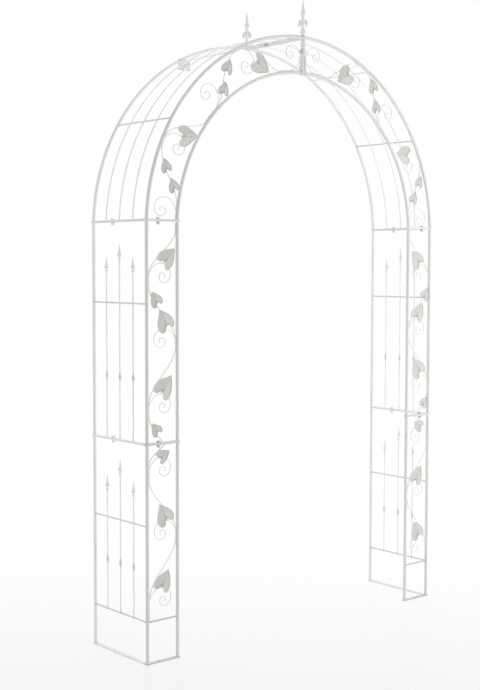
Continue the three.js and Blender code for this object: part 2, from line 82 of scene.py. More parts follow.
class Shade:
    """A socket of a material's nodes. Sums, differences and products of it add Math nodes."""

    def __init__(self, tree, socket=None):
        self.tree, self.socket = tree, socket

    def node(self, kind, inputs=(), output=0, **settings):
        """Add one node: its settings first, then the value or link of each socket named."""
        made = self.tree.nodes.new("ShaderNode" + kind)
        for setting, value in settings.items():
            setattr(made, setting, value)
        for name, value in dict(inputs).items():
            if isinstance(value, Shade):
                self.tree.links.new(value.socket, made.inputs[name])
            else:
                made.inputs[name].default_value = value
        return Shade(self.tree, made.outputs[output])

    def maths(self, operation, first, second):
        return self.node("Math", {0: first, 1: second}, operation=operation)

    def __add__(self, other):
        return self.maths("ADD", self, other)

    def __sub__(self, other):
        return self.maths("SUBTRACT", self, other)

    def __rsub__(self, other):
        return self.maths("SUBTRACT", other, self)

    def __mul__(self, other):
        return self.maths("MULTIPLY", self, other)

    __radd__ = __add__

    def clamped(self):
        return self.node("Clamp", {0: self})

    def ramp(self, stops):
        """The colour at this value on a ramp through the stops, each a place and a colour."""
        coloured = self.node("ValToRGB", {0: self})
        elements = coloured.socket.node.color_ramp.elements
        while len(elements) < len(stops):
            elements.new(1.0)
        for element, (place, colour) in zip(elements, stops):
            element.position, element.color = place, (*colour, 1)
        return coloured

    def bump(self, depth, strength=1.0):
        """A bump as high as this pattern says, its depth in millimetres."""
        return self.node("Bump", {"Strength": strength, "Distance": depth / metre, "Height": self})

    def noise(self, scale, detail=2.0, stretch=None):
        """Noise on the piece's own coordinates, scale being cells to a metre."""
        place = self.node("TexCoord", output="Object")
        if stretch:
            place = self.node("Mapping", {"Vector": place, "Scale": stretch})
        return self.node("TexNoise", {"Vector": place, "Scale": scale, "Detail": detail})


def new_finish(name, constants):
    """A material of one Principled shader, with its constants, and a Shade to add nodes to."""
    material = bpy.data.materials.new(name)
    material.use_nodes = True
    for socket, value in constants.items():
        material.node_tree.nodes["Principled BSDF"].inputs[socket].default_value = value
    return material, Shade(material.node_tree)


def feed(shade, colour, roughness, bump):
    """Link what changes over the surface to the shader's own sockets."""
    shader = shade.tree.nodes["Principled BSDF"]
    for socket, value in (("Base Color", colour), ("Roughness", roughness), ("Normal", bump)):
        shade.tree.links.new(value.socket, shader.inputs[socket])


def white_paint(parts, tint, grain, bump_height, front_shade_share=1.0):
    """White powder coat: a faintly uneven white that is greyer where it pooled, with the fine
    orange-peel of sprayed powder, grain cells of it to a metre. In the plane of the front posts
    its colour is multiplied by the front shade share: painted shade on the faces there, which
    turn away from the light."""
    material, shade = new_finish("powder_coat_on_" + parts, {"Metallic": 0.0, "IOR": 1.45})
    cloud, fleck, peel = shade.noise(7.0, 3.0), shade.noise(260.0), shade.noise(grain)
    # Most of the mix lies between 0.32 and 0.7, and is widened to run from 0 to 1.
    pooled = (cloud * 0.7 + fleck * 0.3 - 0.32) * 2.6
    steps = ((0.0, 0.93), (0.55, 1.0), (1.0, 1.03))
    stops = [(place, [share * channel for channel in tint]) for place, share in steps]
    colour = pooled.clamped().ramp(stops)
    # Painted shade: in the plane of the front posts the colour is made darker.
    if front_shade_share < 1:
        place = shade.node("TexCoord", output="Object")
        depth = shade.node("SeparateXYZ", {"Vector": place}, "Y")
        in_painted_shade = shade.maths("LESS_THAN", depth, (front_y + front_plane_half) / metre)
        scale = 1 - in_painted_shade * (1 - front_shade_share)
        colour = shade.node("VectorMath", {0: colour, "Scale": scale}, operation="SCALE")
    feed(shade, colour, 0.36 + peel * 0.16, (peel + fleck * 0.6).bump(bump_height))
    return material


# Every part has the same white coat. The tints below are set lighter or darker to paint the light and shade
# each part gets: the front tubes darker as painted shade, the back tubes lighter as painted light.
front_paint_in_painted_shade = white_paint("front_tubes_in_painted_shade", (0.74, 0.735, 0.72), 900.0, 0.02)
back_paint_in_painted_light = white_paint("back_tubes_in_painted_light", (0.86, 0.855, 0.84), 900.0, 0.02)


def shell(rings, lengthwise="capped"):
    """The corners and faces of one closed skin over rings of points, each ring closed on itself.
    Lengthwise the skin is capped with a point at the middle of each end ring, or looped so that
    the last ring meets the first, or folded, its end rings lying flat on themselves. Faces are
    turned so that the skin's volume is positive."""
    rings = np.asarray(rings, float)
    rows, columns = rings.shape[:2]
    corners = rings.reshape(-1, 3)
    index = np.arange(rows * columns).reshape(rows, columns)
    beside = np.roll(index, -1, axis=1)
    faces = np.stack([index, beside, np.roll(beside, -1, axis=0), np.roll(index, -1, axis=0)], -1)
    faces = (faces if lengthwise == "looped" else faces[:-1]).reshape(-1, 4)
    if lengthwise == "capped":
        low, high = len(corners), len(corners) + 1
        corners = np.vstack([corners, rings[0].mean(0), rings[-1].mean(0)])
        first = np.stack([beside[0], index[0], np.full(columns, low), np.full(columns, low)], -1)
        last = np.stack([index[-1], beside[-1], np.full(columns, high), np.full(columns, high)], -1)
        faces = np.vstack([faces, first, last])
    a, b, c, d = (corners[faces[:, i]] - corners.mean(0) for i in range(4))
    volume = np.einsum("ij,ij->", a, np.cross(b, c)) + np.einsum("ij,ij->", a, np.cross(c, d))
    return corners, faces if volume > 0 else faces[:, ::-1]


def make_piece(name, skins, material, node, slot="white_paint", mirrored=False, crease=0.6):
    """One object from closed skins in millimetres. Corners that share a place are welded, and
    faces left with two or fewer corners are dropped. Mirroring changes X's sign and turns the
    faces back. Edges that turn by more than the crease, in radians, stay sharp."""
    all_corners, all_faces, offset = [], [], 0
    for corners, faces in skins:
        all_corners.append(corners)
        all_faces.append(faces + offset)
        offset += len(corners)
    corners, faces = np.vstack(all_corners) / metre, np.vstack(all_faces)
    if mirrored:
        corners, faces = corners * (-1, 1, 1), faces[:, ::-1]
    skin_numbers = np.concatenate([np.full(len(c), i) for i, c in enumerate(all_corners)])
    keys = np.column_stack([np.round(corners * 1e6).astype(np.int64), skin_numbers])
    _, first, inverse = np.unique(keys, axis=0, return_index=True, return_inverse=True)
    corners, faces = corners[first], inverse.reshape(-1)[faces]
    repeated = faces == np.roll(faces, 1, axis=1)
    folded = (faces[:, 0] == faces[:, 2]) | (faces[:, 1] == faces[:, 3])
    polygons = []
    for count in (4, 3):
        rows = (4 - repeated.sum(1) == count) & ~folded
        polygons += faces[rows][~repeated[rows]].reshape(-1, count).tolist()
    mesh = bpy.data.meshes.new(name)
    mesh.from_pydata(corners.tolist(), [], polygons)
    mesh.polygons.foreach_set("use_smooth", np.ones(len(mesh.polygons), bool))
    mesh.set_sharp_from_angle(angle=crease)
    mesh.materials.append(material)
    mesh.update()
    piece = bpy.data.objects.new(name, mesh)
    bpy.context.collection.objects.link(piece)
    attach(piece, "root")
    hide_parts(node)


def make_pair(name, skins, material, node, **settings):
    """The piece on the left half, as it is modelled, and its mirror image on the right half."""
    make_piece("left_" + name, skins, material, "left_" + node, **settings)
    make_piece("right_" + name, skins, material, "right_" + node, mirrored=True, **settings)


def unit(vectors):
    """The same vectors, each at length one."""
    return vectors / np.linalg.norm(vectors, axis=-1, keepdims=True)


def turns_round(sides):
    """Directions evenly round a circle, in radians."""
    return np.arange(sides) * 2 * np.pi / sides


def along_path(points, radii, flat=(0, 1, 0), sides=20):
    """A rod or tube: at each point of the path a ring stands square to it, its radius one number
    or a row to each point. The ring's second direction is flat, to which the path is square."""
    points = np.asarray(points, float)
    heading = unit(np.gradient(points, axis=0))
    second = np.asarray(flat, float)
    first = np.cross(second, heading)
    turn = turns_round(sides)
    across, aside = np.cos(turn), np.sin(turn)
    radii = np.broadcast_to(radii, (len(points), sides))
    sideways = (across * radii)[:, :, None] * first[:, None, :]
    return points[:, None, :] + sideways + (aside * radii)[:, :, None] * second


def turned(x, y, heights, radii, sides):
    """Rings round an upright axis, one to each height, from a radius or a row of radii to each."""
    turn = turns_round(sides)
    radii = np.broadcast_to(radii, (len(heights), sides))
    level = np.repeat(np.asarray(heights, float)[:, None], sides, axis=1)
    return np.stack([x + radii * np.cos(turn), y + radii * np.sin(turn), level], -1)


def weld_flare(distance, leg):
    """How much wider a rod is this far from what it is welded to: a hollow fillet that ends
    where the distance reaches its leg."""
    return leg * np.clip(1 - distance / leg, 0, 1) ** 2


def weld_steps(length, rows):
    """Distances along a rod, close together at its welded ends, and each one's way to the nearer
    end."""
    end = np.array([0.0, 0.25, 0.6, 1.0, 1.5, 2.0])
    along = np.concatenate([end, np.linspace(weld_clear, length - weld_clear, rows), length - end[::-1]])
    return along, np.minimum(along, length - along)


post_places = {
    "back_post": (-half_span, back_y),
    "front_outer_post": (-half_span, front_y),
    "front_inner_post": (-inner_x, front_y),
}
tube_turn = turns_round(tube_sides)
along_post, nearest = weld_steps(section_height - 2 * bar_thickness, 40)
for level, base in sections.items():
    for place, (x, y) in post_places.items():
        ripple = 1 + 0.22 * np.sin(5 * tube_turn + x) + 0.14 * np.sin(11 * tube_turn + y + base)
        radii = tube_radius + weld_flare(nearest, weld_leg)[:, None] * ripple
        skin = shell(turned(x, y, base + bar_thickness + along_post, radii, tube_sides))
        # Painted shade on the front tubes, painted light on the back ones.
        paint = back_paint_in_painted_light if y > 0 else front_paint_in_painted_shade
        make_pair(f"{level}_{place}_tube", [skin], paint, f"{level}_{place}")

# Arc tubes
# Three tubes to each half of the round top: back, front outer and front inner. Each is the same
# tube, bent on a former to one radius, welded on its foot bar and against the apex frame.
outer_rise, apex_band = 664.0, 127.0
arch_base = 2 * section_pitch
arch_foot = arch_base + bar_thickness
apex_z = arch_foot + seat_gap + outer_rise
apex_gap, apex_cover, apex_splay = 0.15, 1.0, 8.0


class Arc:
    """Part of a circle that rises from the top of a tower to the apex, on the left half."""

    def __init__(self, half_width, rise):
        self.radius = (half_width ** 2 + rise ** 2) / (2 * rise)
        self.centre_z = arch_foot + seat_gap + rise - self.radius
        self.spring = np.arcsin((self.radius - rise) / self.radius)

    def points(self, shares, y=0.0):
        """Points at shares of the turn from the spring to the apex: x and z go round the circle."""
        turn = self.spring + (np.pi / 2 - self.spring) * np.asarray(shares, float)
        height = self.centre_z + self.radius * np.sin(turn)
        return np.stack([-self.radius * np.cos(turn), np.full_like(turn, y), height], -1)

    def share_at(self, distance):
        """The share at which the arc is this far short of the middle plane."""
        return (np.arccos(distance / self.radius) - self.spring) / (np.pi / 2 - self.spring)


outer_arc, inner_arc = Arc(half_span, outer_rise), Arc(inner_x, outer_rise - apex_band)
frame_face = apex_gap + bar_thickness
outer_end, inner_end = outer_arc.share_at(frame_face), inner_arc.share_at(frame_face + apex_splay)


def bent_tube(arc, end_share, y, radius, sides, rows, leg):
    """A tube along an arc, its foot level on the foot bar, flared by a weld at both ends."""
    length = arc.radius * (np.pi / 2 - arc.spring)
    along, nearest = weld_steps(end_share * length, rows)
    turn = turns_round(sides)
    ripple = 1 + 0.2 * np.sin(5 * turn + y) + 0.15 * np.sin(9 * turn)
    radii = radius + weld_flare(nearest, leg)[:, None] * ripple
    rings = along_path(arc.points(along / length, y), radii, sides=sides)
    rings[0, :, 2] = arch_foot
    rings[:, :, 2] = np.maximum(rings[:, :, 2], arch_foot)
    rings[:, :, 0] = np.minimum(rings[:, :, 0], -apex_gap - apex_cover)
    return shell(rings)


for name, arc, end_share, y in (
    ("back_arc", outer_arc, outer_end, back_y),
    ("front_outer_arc", outer_arc, outer_end, front_y),
    ("front_inner_arc", inner_arc, inner_end, front_y),
):
    # Painted shade on the front tubes, painted light on the back ones.
    paint = back_paint_in_painted_light if y > 0 else front_paint_in_painted_shade
    skin = bent_tube(arc, end_share, y, tube_radius, tube_sides, 110, weld_leg)
    make_pair(name + "_tube", [skin], paint, name)

# Joint bars
# L-shaped flat bars at the foot and head of every section, sheared from 16 by 4 mm strip with
# rounded corners and a bolt hole in each leg. The legs are butt welded at the corner, and the
# arch stands on the lowest pair.
bar_half, bar_overhang, leg_lap = 8.0, 1.2, 2.5
hole_radius, hole_chamfer = 4.3, 0.4
edge_round, corner_round, hair = 0.7, 4.0, 0.01
front_bolt_share, side_bolt_share = 0.375, 0.625
front_bolt = (-half_span + front_bolt_share * band_width, front_y)
side_bolt = (-half_span, front_y + side_bolt_share * 2 * half_depth)
# Painted light and shade: the lower and middle joint bars are painted lighter, and on them and on the base
# bar the front leg is painted darker.
bar_paint = white_paint("flat_bar", (0.81, 0.805, 0.79), 700.0, 0.025)
base_bar_paint_with_painted_shade = white_paint("base_bar", (0.80, 0.795, 0.78), 700.0, 0.025, 0.74)
joint_bar_paint_with_painted_light_and_shade = white_paint("joint_bar", (0.92, 0.915, 0.90), 700.0, 0.025, 0.78)


def rounded_outline(low, high, radius, eye, columns=96, off_axis=0.01):
    """Points round a rectangle with rounded corners, and the outward direction at each: arc points
    at the corners, and on the sides the crossings of rays at even turns round an inner point."""
    low, high, eye = (np.asarray(v, float) for v in (low, high, eye))
    turn = off_axis + np.linspace(-np.pi, np.pi, columns, endpoint=False)
    ray = np.column_stack([np.cos(turn), np.sin(turn)])
    crossings = eye + ray * np.min(np.where(ray > 0, high - eye, low - eye) / ray, axis=1)[:, None]
    near, far = low + radius, high - radius
    on_a_side = (np.clip(crossings, near, far) != crossings).sum(1) == 1
    corner_turn = (np.deg2rad(np.arange(4) * 90)[:, None] + np.deg2rad(np.arange(0, 91, 15))).ravel()
    centres = np.repeat([far, (near[0], far[1]), near, (far[0], near[1])], 7, axis=0)
    arcs = centres + radius * np.column_stack([np.cos(corner_turn), np.sin(corner_turn)])
    points = np.vstack([crossings[on_a_side], arcs])
    points = points[np.argsort(np.arctan2(points[:, 1] - eye[1], points[:, 0] - eye[0]))]
    return points, (points - np.clip(points, near, far)) / radius


def holed_plate(low, high, hole_at, hole, thickness, corner, edge):
    """A flat plate with one round hole, as rings that close on themselves: out over the top from
    the bore, round the edge by a quarter circle, down, and back the same way underneath."""
    outline, outward = rounded_outline(low, high, corner, hole_at)
    away = unit(outline - hole_at)
    bore_steps = ((0, hole_chamfer), (hole_chamfer, 0), (2 * hole_chamfer, 0))
    rows = [(hole_at + away * (hole + out), depth) for out, depth in bore_steps]
    rows.append((outline - outward * (edge + hole_chamfer), 0))
    for turn in np.deg2rad([90, 60, 30, 0]):
        rows.append((outline - outward * edge * (1 - np.cos(turn)), edge * (1 - np.sin(turn))))
    levels = [(plan, thickness - depth) for plan, depth in rows] + rows[::-1]
    return np.stack([np.column_stack([plan, np.full(len(plan), height)]) for plan, height in levels])


def l_bar(base):
    """The front leg with its corner, and the side leg butted against it, a hair thinner."""
    reach = tube_radius + bar_overhang
    front = holed_plate(
        (-half_span - bar_half, front_y - bar_half), (-inner_x + reach, front_y + bar_half),
        front_bolt, hole_radius, bar_thickness, corner_round, edge_round,
    )
    side = holed_plate(
        (-half_span - bar_half, front_y + bar_half - leg_lap), (-half_span + bar_half, back_y + reach),
        side_bolt, hole_radius, bar_thickness - 2 * hair, corner_round, edge_round,
    )
    return [shell(rings + (0, 0, z), "looped") for rings, z in ((front, base), (side, base + hair))]


bars = {
    "base_bar": (0.0, base_bar_paint_with_painted_shade),
    "lower_joint_bar": (section_height - bar_thickness, joint_bar_paint_with_painted_light_and_shade),
    "middle_joint_bar": (section_pitch, joint_bar_paint_with_painted_light_and_shade),
    "upper_joint_bar": (section_pitch + section_height - bar_thickness, bar_paint),
    "arch_foot_bar": (arch_base, bar_paint),
}
for name, (base, paint) in bars.items():
    make_pair(name + "_strip", l_bar(base), paint, name)

# Side grilles and foot rods
# A side grille is two crossbars, or one in an upper section, and three thinner rods welded
# across them, each with a cast bead below its middle and a cast spear head. A rod joins the two
# front posts at the height of the lowest crossbar.
rod_radius, spear_rod_radius = 3.0, 2.6
foot_height, crossbar_height = 143.0, 465.0
rod_sides, rod_weld_leg = 16, 1.5
spear_length, spear_lap, barb_reach, barb_droop = 58.0, 1.0, 11.0, 3.0
bead_length, bead_radius = 26.0, 5.0
grille_weld = (4.1, 4.4, 3.6)
# Painted light and shade: the rods are painted lighter, and the crossbars, beads and foot rod darker, darker
# still in the plane of the front posts.
rod_paint = white_paint("rod", (0.92, 0.915, 0.90), 1100.0, 0.015)
crossbar_paint_in_painted_shade = white_paint("crossbars", (0.71, 0.705, 0.69), 1100.0, 0.015, 0.8)
spear_ys = front_y + 2 * half_depth * np.array([0.25, 0.5, 0.75])


def welded_rod(start, end, rows, flat):
    """A straight rod between two posts, flared by a weld at both ends."""
    start, way = np.asarray(start, float), np.subtract(end, start)
    length = np.linalg.norm(way)
    along, nearest = weld_steps(length, rows)
    radii = rod_radius + weld_flare(nearest, rod_weld_leg)
    return shell(along_path(start + along[:, None] * way / length, radii[:, None], flat, rod_sides))


def crossbar(x, z):
    """A rod from front to back, between the faces of two posts or arcs."""
    reach = half_depth - tube_radius
    return welded_rod((x, -reach, z), (x, reach, z), 30, (0, 0, 1))


def weld_spot(centre, size, seed):
    """A small lumpy spot of weld: a ball squashed to its size, its surface moved in and out by
    two slow waves."""
    tilt = np.linspace(0, np.pi, 9)[:, None]
    turn = turns_round(12)
    lump = 1 + 0.10 * np.sin(3 * turn + seed) * np.sin(tilt) + 0.08 * np.cos(2 * tilt + seed)
    level, upright = lump * np.sin(tilt), lump * np.cos(tilt)
    ball = np.stack([level * np.cos(turn), level * np.sin(turn), upright], -1)
    return shell(centre + ball * size)


bead_shares = np.array([
    (-0.22, 0.52), (-0.14, 0.42), (-0.06, 0.36), (0.0, 0.36), (0.03, 0.44), (0.08, 0.60),
    (0.16, 0.80), (0.26, 0.94), (0.36, 1.0), (0.46, 0.98), (0.56, 0.88), (0.66, 0.72), (0.76, 0.60),
    (0.88, 0.54), (1.0, 0.52),
])
spear_core_shares = np.array([
    (0.0, 0.25), (0.02, 0.36), (0.06, 0.47), (0.12, 0.52), (0.17, 0.44), (0.21, 0.30), (0.24, 0.25),
    (0.27, 0.29), (0.31, 0.34), (0.36, 0.36), (0.42, 0.35), (0.5, 0.33), (0.6, 0.28), (0.72, 0.21),
    (0.84, 0.13), (0.94, 0.06), (1.0, 0.008),
])
barb_shares = np.array([
    (0, 0), (0.26, 0), (0.29, 0.22), (0.325, 0.60), (0.345, 0.64), (0.37, 0.55), (0.42, 0.32),
    (0.5, 0.16), (0.62, 0.09), (0.8, 0.05), (1, 0),
])


def spear_head(x, y, tip_z):
    """A cast spear head: a turned core and four fins on the axes. A fin's reach rises fast to the
    barb, a third up, and falls away up the blade; its section is a high power of the cosine of
    twice the turn."""
    up = np.concatenate([np.linspace(0, 0.24, 14), np.linspace(0.25, 0.44, 20), np.linspace(0.46, 1, 22)])
    core = np.interp(up, *spear_core_shares.T) * barb_reach
    barb = np.interp(up, *barb_shares.T) * barb_reach
    turn = turns_round(32)
    fin = barb[:, None] * np.abs(np.cos(2 * turn)) ** 5 * (np.cos(4 * turn) > -0.2)
    rings = turned(x, y, tip_z - spear_length + up * spear_length, core[:, None] + fin, 32)
    rings[:, :, 2] -= barb_droop * fin / barb_reach
    return shell(rings)


def bead(x, y, bead_z):
    """A cast bead between two lengths of rod: a turned drop with a narrow neck under it."""
    heights = bead_z + (bead_shares[:, 0] - 0.5) * bead_length
    return shell(turned(x, y, heights, bead_shares[:, 1:] * bead_radius, rod_sides))


def spear_rods(x, y, bottom_z, bead_z, tip_z):
    """The two lengths of rod under a spear head, below its bead and above it."""
    bead_low, bead_high = bead_z + (bead_shares[[0, -1], 0] - 0.5) * bead_length
    return [
        shell(turned(x, y, np.linspace(low, high, 16), spear_rod_radius, rod_sides))
        for low, high in ((bottom_z, bead_low), (bead_high, tip_z - spear_length + spear_lap))
    ]


# A section's base, its rods' foot and its crossbars, then shares of its height: the tips of the
# outer spears and of the middle one, and the beads.
grilles = {
    "lower": (0.0, foot_height, (foot_height, crossbar_height), (0.827, 0.911, 0.431)),
    "upper": (section_pitch, bar_thickness, (crossbar_height,), (0.842, 0.896, 0.292)),
}
for level, (base, foot, bar_heights, shares) in grilles.items():
    grille, (outer_tip, middle_tip, bead_share) = level + "_grille", shares
    crossbars = [crossbar(-half_span, base + z) for z in bar_heights]
    make_pair(grille + "_crossbars", crossbars, crossbar_paint_in_painted_shade, grille)
    bead_z = base + bead_share * section_height
    beads = [bead(-half_span, y, bead_z) for y in spear_ys]
    make_pair(grille + "_beads", beads, crossbar_paint_in_painted_shade, grille)
    skins = []
    for y, tip_share in zip(spear_ys, (outer_tip, middle_tip, outer_tip)):
        tip_z = base + section_height * tip_share
        skins += spear_rods(-half_span, y, base + foot, bead_z, tip_z)
        skins.append(spear_head(-half_span, y, tip_z))
        for z in (*bar_heights, foot):
            skins.append(weld_spot((-half_span, y, base + z), grille_weld, y + z))
    make_pair(grille + "_spears", skins, rod_paint, grille)

foot_rod_ends = [(x, front_y, foot_height) for x in (-half_span + tube_radius, -inner_x - tube_radius)]
make_pair("front_foot_rod", [welded_rod(*foot_rod_ends, 16, (0, 1, 0))], crossbar_paint_in_painted_shade, "front_foot_bar")

# Rods over the arch
# Three rods bent over the top between the back arc and the front outer arc, with two crossbars
# welded across them at a third and two thirds of the way round.
arch_rod_weld_leg, arch_weld = 1.2, (4.1, 4.3, 3.9)
# Painted light: the arch rods and the upper arch crossbar are painted lighter than the lower crossbar of the
# same coat.
arch_rod_paint_in_painted_light = white_paint("arch_rods", (0.92, 0.915, 0.90), 1100.0, 0.015)
arch_skins = [
    bent_tube(outer_arc, outer_end, y, spear_rod_radius, 14, 70, arch_rod_weld_leg) for y in spear_ys
]
arch_crossbars = []
for share in (1 / 3, 2 / 3):
    x, _, z = outer_arc.points([share])[0]
    arch_crossbars.append(crossbar(x, z))
    arch_skins += [weld_spot((x, y, z), arch_weld, y + share) for y in spear_ys]
make_pair("arch_bent_rods", arch_skins, arch_rod_paint_in_painted_light, "arch_rods")
make_pair("arch_lower_crossbar", arch_crossbars[:1], crossbar_paint_in_painted_shade, "arch_rods")
make_pair("arch_upper_crossbar", arch_crossbars[1:], arch_rod_paint_in_painted_light, "arch_rods")

# Apex frame
# Where the halves meet, each ends in a flat bar down the front and one along the ridge, on edge.
# One bolt clamps each pair. Below its bolt the front pair springs apart, the left bar twisted
# further than the right.
apex_top = apex_z + bar_half
apex_bottom = apex_z - apex_band - bar_half
apex_bolt_z = apex_z - (apex_z - apex_bottom) * front_bolt_share
ridge_bolt_y = front_y + 2 * half_depth * side_bolt_share
straight_step, ridge_lap = 20.0, 2.0


def flat_bar(path, turns, thick_way, wide_way, thickness, width, edge=0.6):
    """A flat bar along a path: rings of sixteen points, a rectangle with rounded corners, each
    turned about the path. At both ends the rounding shrinks to nothing by a quarter circle."""
    path = np.asarray(path, float)
    turn = (np.deg2rad(np.arange(4) * 90)[:, None] + np.deg2rad([0, 30, 60, 90])).ravel()
    sides = np.repeat([(1, 1), (-1, 1), (-1, -1), (1, -1)], 4, axis=0)
    end = np.deg2rad([0, 30, 60, 90])
    inset = edge * (1 - np.cos(end))[:, None]
    first, last = unit(path[1] - path[0]), unit(path[-2] - path[-1])
    path = np.vstack([path[0] + inset * first, path[1:-1], path[-1] + inset[::-1] * last])
    rounding = edge * np.concatenate([np.sin(end), np.ones(len(turns) - 2), np.sin(end)[::-1]])[:, None, None]
    section = sides * (thickness / 2 - edge, width / 2 - edge)
    section = section + rounding * np.column_stack([np.cos(turn), np.sin(turn)])
    turns = np.concatenate([np.full(3, turns[0]), turns, np.full(3, turns[-1])])[:, None]
    thick = np.cos(turns) * thick_way + np.sin(turns) * wide_way
    wide = np.cos(turns) * wide_way - np.sin(turns) * thick_way
    return shell(path[:, None] + section[..., :1] * thick[:, None] + section[..., 1:] * wide[:, None])


bar_middle = -apex_gap - bar_thickness / 2
bend_z = apex_bolt_z - bar_half
front_z = np.concatenate([[apex_top, apex_top - straight_step], np.linspace(bend_z, apex_bottom, 12)])
apart = np.clip((bend_z - front_z) / (bend_z - apex_bottom), 0, 1)
front_path = np.column_stack([bar_middle - apart * apex_splay, np.full_like(apart, front_y), front_z])
ridge_ys = np.linspace(front_y + bar_half - ridge_lap, back_y + tube_radius + bar_overhang, 12)
ridge_path = np.column_stack([np.full_like(ridge_ys, bar_middle), ridge_ys, np.full_like(ridge_ys, apex_z)])
x_way, y_way, z_way = np.eye(3)
ridge_size = (bar_thickness - 2 * hair, 2 * bar_half - 2 * hair)
for side, twist_degrees in (("left", 24.0), ("right", -8.0)):
    twist = np.deg2rad(twist_degrees) * apart
    apex_skins = [
        flat_bar(front_path, twist, x_way, y_way, bar_thickness, 2 * bar_half),
        flat_bar(ridge_path, np.zeros(12), x_way, z_way, *ridge_size),
    ]
    make_piece(
        side + "_apex_flat_bars", apex_skins, bar_paint, side + "_apex_frame", mirrored=side == "right",
    )

# Vines
# One wire climbs each band from tube to tube. Scrolls of thinner wire leave it along a tube and
# wind in one and two thirds turns. Heart-shaped leaves pressed from sheet, folded on the midrib, with
# grooved veins, a raised rim and a toothed notch, are welded on in front of the wires.
stem_radius, curl_radius, stem_bite = 1.85, 1.6, 0.1
wire_step, wire_round, wire_tail, curl_rows, curl_round_rows = 4.0, 1.5, 0.016, 130, 2.5
tube_reach = tube_radius + seat_gap
curl_start = 0.53 * band_width - tube_reach - stem_radius
curl_turns, curl_start_turn, curl_tightness = 1.66, 0.04, 0.214
leaf_lift, leaf_thickness, leaf_width_share, leaf_fold = 7.7, 1.2, 0.54, np.deg2rad(10)
midrib_depth, midrib_width, rim_height, tip_droop = 2.4, 1.7, 2.2, 5.0
vein_depth, vein_width, vein_fade = 1.0, 1.1, 3.0
stalk_depth, stalk_width = 5.3, 3.0
rim_share, tip_share, stub_share, stalk_share = 0.16, 0.22, 0.15, 0.22
head_height, nut_height, thread_end = 5.3, 6.5, 3.0
# Painted shade: the leaves are painted darker than the tubes, for their faces turned from the light.
leaf_paint_in_painted_shade = white_paint("pressed_leaves_in_painted_shade", (0.64, 0.64, 0.62), 800.0, 0.025)
wire_paint = white_paint("wires", (0.84, 0.835, 0.82), 1100.0, 0.015)


class TowerBand:
    """The strip between two posts, from the bar or rod under it to the top of the section."""

    def __init__(self, low_z, high_z):
        self.low_z, self.high_z = low_z, high_z
        self.length = high_z - low_z

    def place(self, across, along):
        across, along = np.broadcast_arrays(np.asarray(across, float), np.asarray(along, float))
        height = self.low_z + self.length * along
        return np.stack([-half_span + across * band_width, np.full_like(height, front_y), height], -1)


class ArchBand:
    """The strip between the two front arcs, across being a share of the way from outer to inner
    at the same share of their turns."""

    length = (half_span + inner_x) * np.pi / 4

    def place(self, across, along):
        across = np.asarray(across, float)[..., None]
        return outer_arc.points(along, front_y) * (1 - across) + inner_arc.points(along, front_y) * across


def seat_on(tube, along, band):
    """The share across at which the wire lies against a tube, 0 the outer one, 1 the inner."""
    wide = np.linalg.norm(band.place(1, along) - band.place(0, along), axis=-1)
    share = (tube_radius + stem_radius - stem_bite) / wide
    return 1 - share if tube else share


def stem_wire(end, stops, band):
    """The climbing wire, from the foot of its band. At a stop it lies along that tube, and between
    two stops it crosses by the smooth step, three times the share squared less twice its cube."""
    along = np.linspace(0, end, int(end * band.length / wire_step))
    across = np.zeros_like(along)
    for i, (tube, from_share, to_share) in enumerate(stops):
        seat = seat_on(tube, along, band)
        here = (along <= to_share) if i == 0 else (along > stops[i - 1][2]) & (along <= to_share)
        if i:
            last_tube, _, last_to = stops[i - 1]
            eased = np.clip((along - last_to) / (from_share - last_to), 0, 1)
            eased = eased * eased * (3 - 2 * eased)
            seat = seat_on(last_tube, along, band) * (1 - eased) + seat * eased
        across = np.where(here, seat, across)
    points = band.place(across, along)
    length = np.concatenate([[0], np.cumsum(np.linalg.norm(np.diff(points, axis=0), axis=1))])
    from_end = np.minimum(length, length[-1] - length)
    rounding = 1 - np.clip(from_end / wire_round, 0, 1)
    radii = stem_radius * np.sqrt(np.clip(1 - rounding ** 2, 0.02, 1))
    return shell(along_path(points, radii[:, None], sides=14))


def scroll_frame(tube, share, band):
    """Where a scroll's wire leaves its tube, the directions up along the tube and out to it, and
    the scroll's centre."""
    def seat_at(along):
        return band.place(seat_on(tube, along, band), along)

    seat = seat_at(share)
    upward = unit(seat_at(share + 0.001) - seat)
    outward = np.cross((0, 1 if tube else -1, 0), upward)
    return seat - outward * curl_start, outward, upward


def curl_radius_at(turn):
    """How far a scroll's wire is from its centre, falling by a fixed rate with the turn."""
    return curl_start * np.exp(-curl_tightness * turn)


def scroll(tube, share, band):
    """A scroll of wire, from its tube to its rounded end."""
    centre, outward, upward = scroll_frame(tube, share, band)
    turn = np.linspace(curl_start_turn, 2 * np.pi * curl_turns, curl_rows)
    radius = curl_radius_at(turn)[:, None]
    points = centre + radius * (np.cos(turn)[:, None] * outward + np.sin(turn)[:, None] * upward)
    rounding = 1 - np.clip(np.arange(curl_rows)[::-1] / curl_round_rows, 0, 1)
    radii = curl_radius * np.sqrt(np.clip(1 - rounding ** 2, 0.03, 1))
    return shell(along_path(points, radii[:, None], sides=12))


def bezier(points, share):
    """Points on a cubic curve between the first and last of four points."""
    a, b, c, d = (np.asarray(p, float) for p in points)
    s = np.asarray(share, float)[:, None]
    return (1 - s) ** 3 * a + 3 * (1 - s) ** 2 * s * b + 3 * (1 - s) * s ** 2 * c + s ** 3 * d


